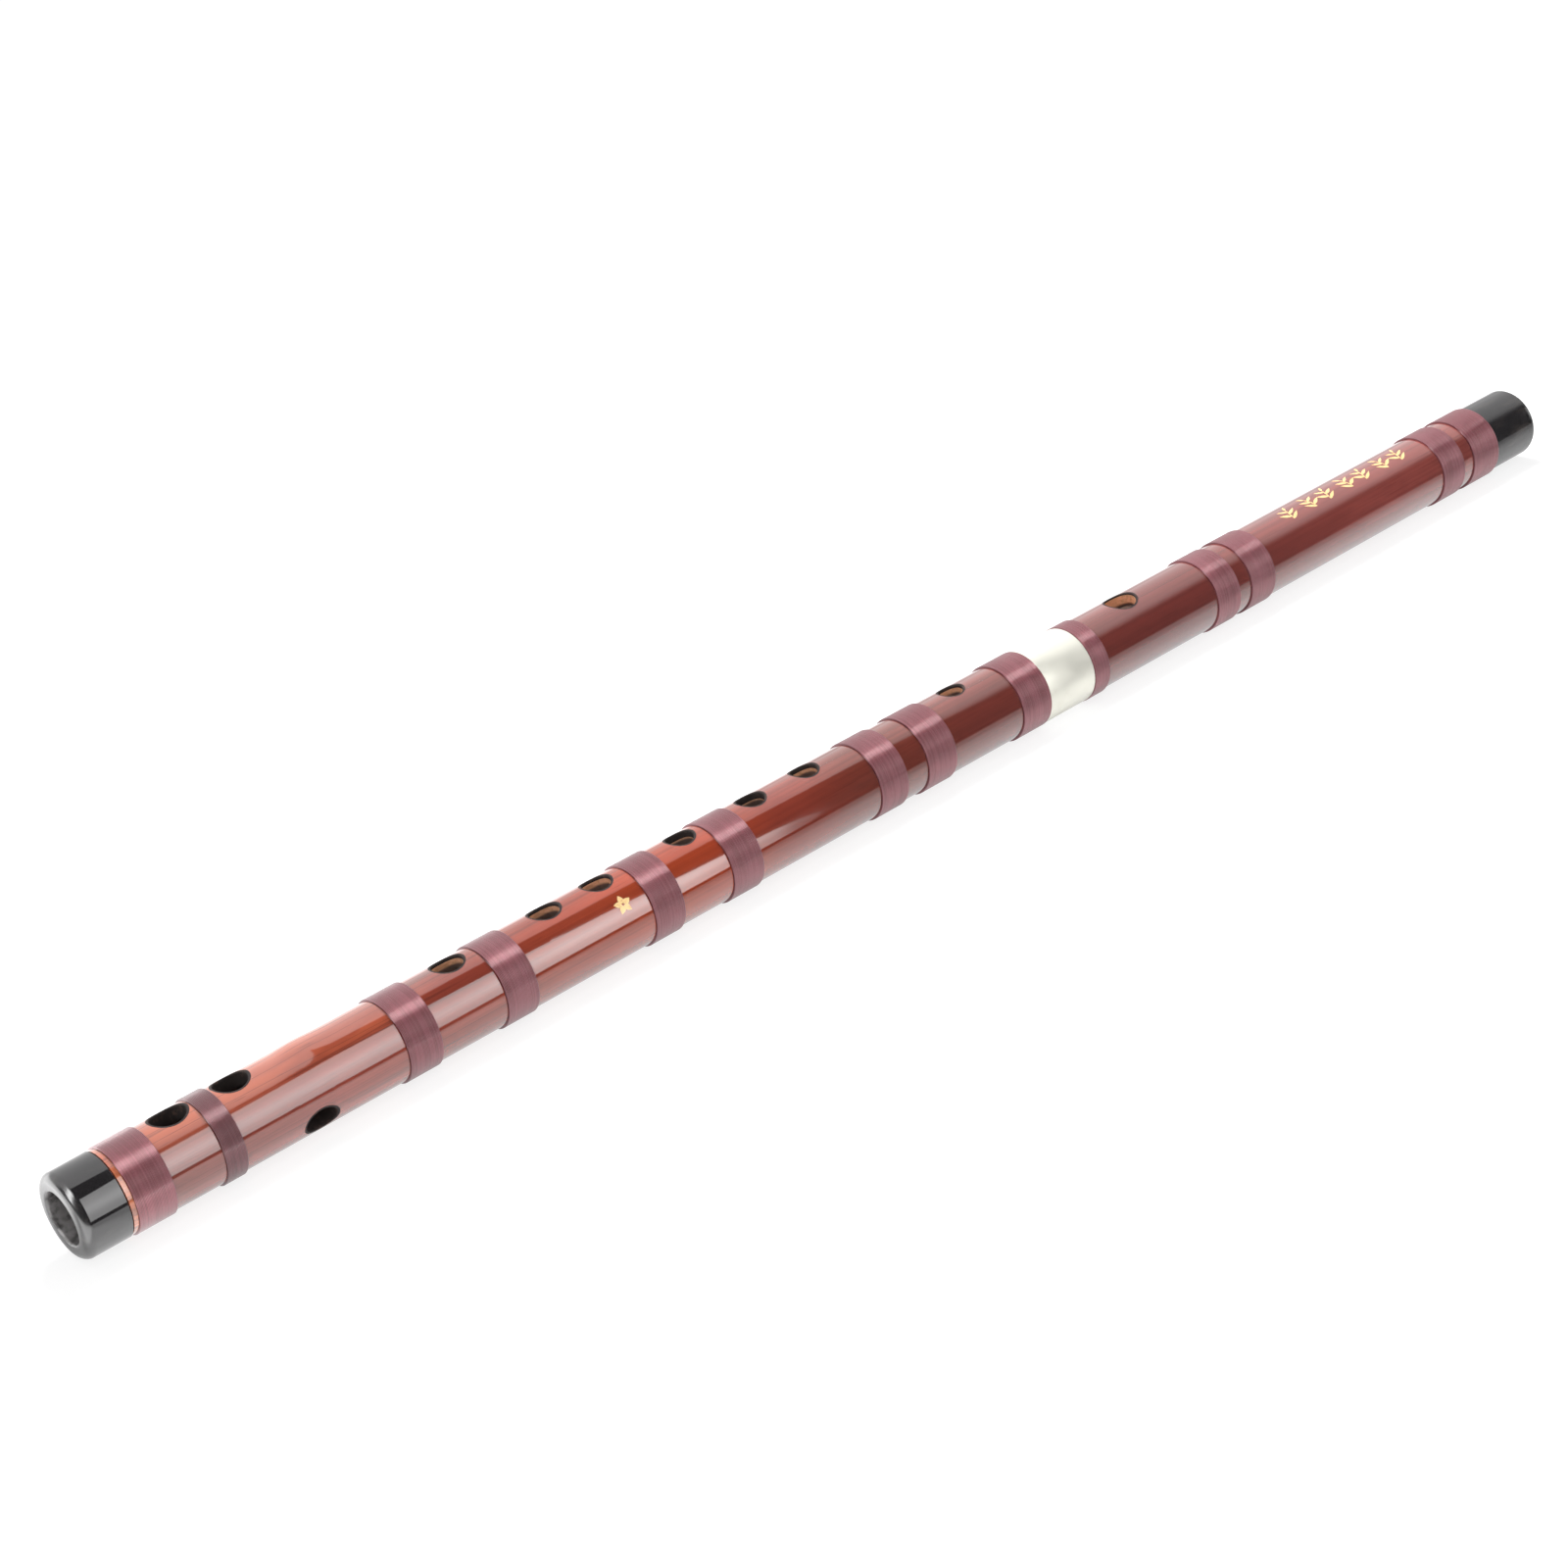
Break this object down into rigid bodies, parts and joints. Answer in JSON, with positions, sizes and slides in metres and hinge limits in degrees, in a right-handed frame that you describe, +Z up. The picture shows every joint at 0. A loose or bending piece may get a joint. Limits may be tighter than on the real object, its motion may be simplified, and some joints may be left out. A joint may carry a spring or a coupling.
{
  "type": "transverse bamboo flute",
  "caption": "Two-section dizi of lacquered bamboo with thread bindings, black end caps, a silver socket ferrule, open finger holes and a cork stopper.",
  "frame": {"origin": "under the middle of the flute's length, on the surface that it rests on", "axes": "+X along the flute from the foot end to the head end, +Z up through the finger holes"},
  "size_m": [0.5574, 0.024, 0.024],
  "materials": {
    "bamboo": "red-brown lacquer over bamboo, glossy",
    "horn": "black horn, polished",
    "thread": "maroon silk thread under lacquer, glossy",
    "silver": "silver plated, satin polish",
    "cork": "natural cork, matt"
  },
  "bodies": {
    "foot_section": {"foot_tube": "bamboo", "foot_end_cap": "horn", "binding_01": "thread", "binding_02": "thread", "binding_03": "thread", "binding_04": "thread", "binding_05": "thread", "binding_06": "thread", "binding_07": "thread", "binding_08": "thread", "binding_09": "thread", "socket_ferrule": "silver", "socket_liner": "silver"},
    "tenon": {"tenon_tube": "silver"},
    "head_section": {"head_tube": "bamboo", "head_end_cap": "horn", "binding_10": "thread", "binding_11": "thread", "binding_12": "thread", "binding_13": "thread", "binding_14": "thread"},
    "stopper": {"stopper_cork": "cork"}
  },
  "joints": [
    {"name": "head_slide", "type": "slide", "parent": "foot_section", "child": "tenon", "axis": [1, 0, 0], "range_m": [0, 0.028]},
    {"name": "head_turn", "type": "hinge", "parent": "tenon", "child": "head_section", "pos_m": [0.0658, 0, 0.012], "axis": [1, 0, 0], "continuous": true},
    {"name": "stopper_slide", "type": "slide", "parent": "head_section", "child": "stopper", "axis": [1, 0, 0], "range_m": [-0.004, 0.01]}
  ]
}
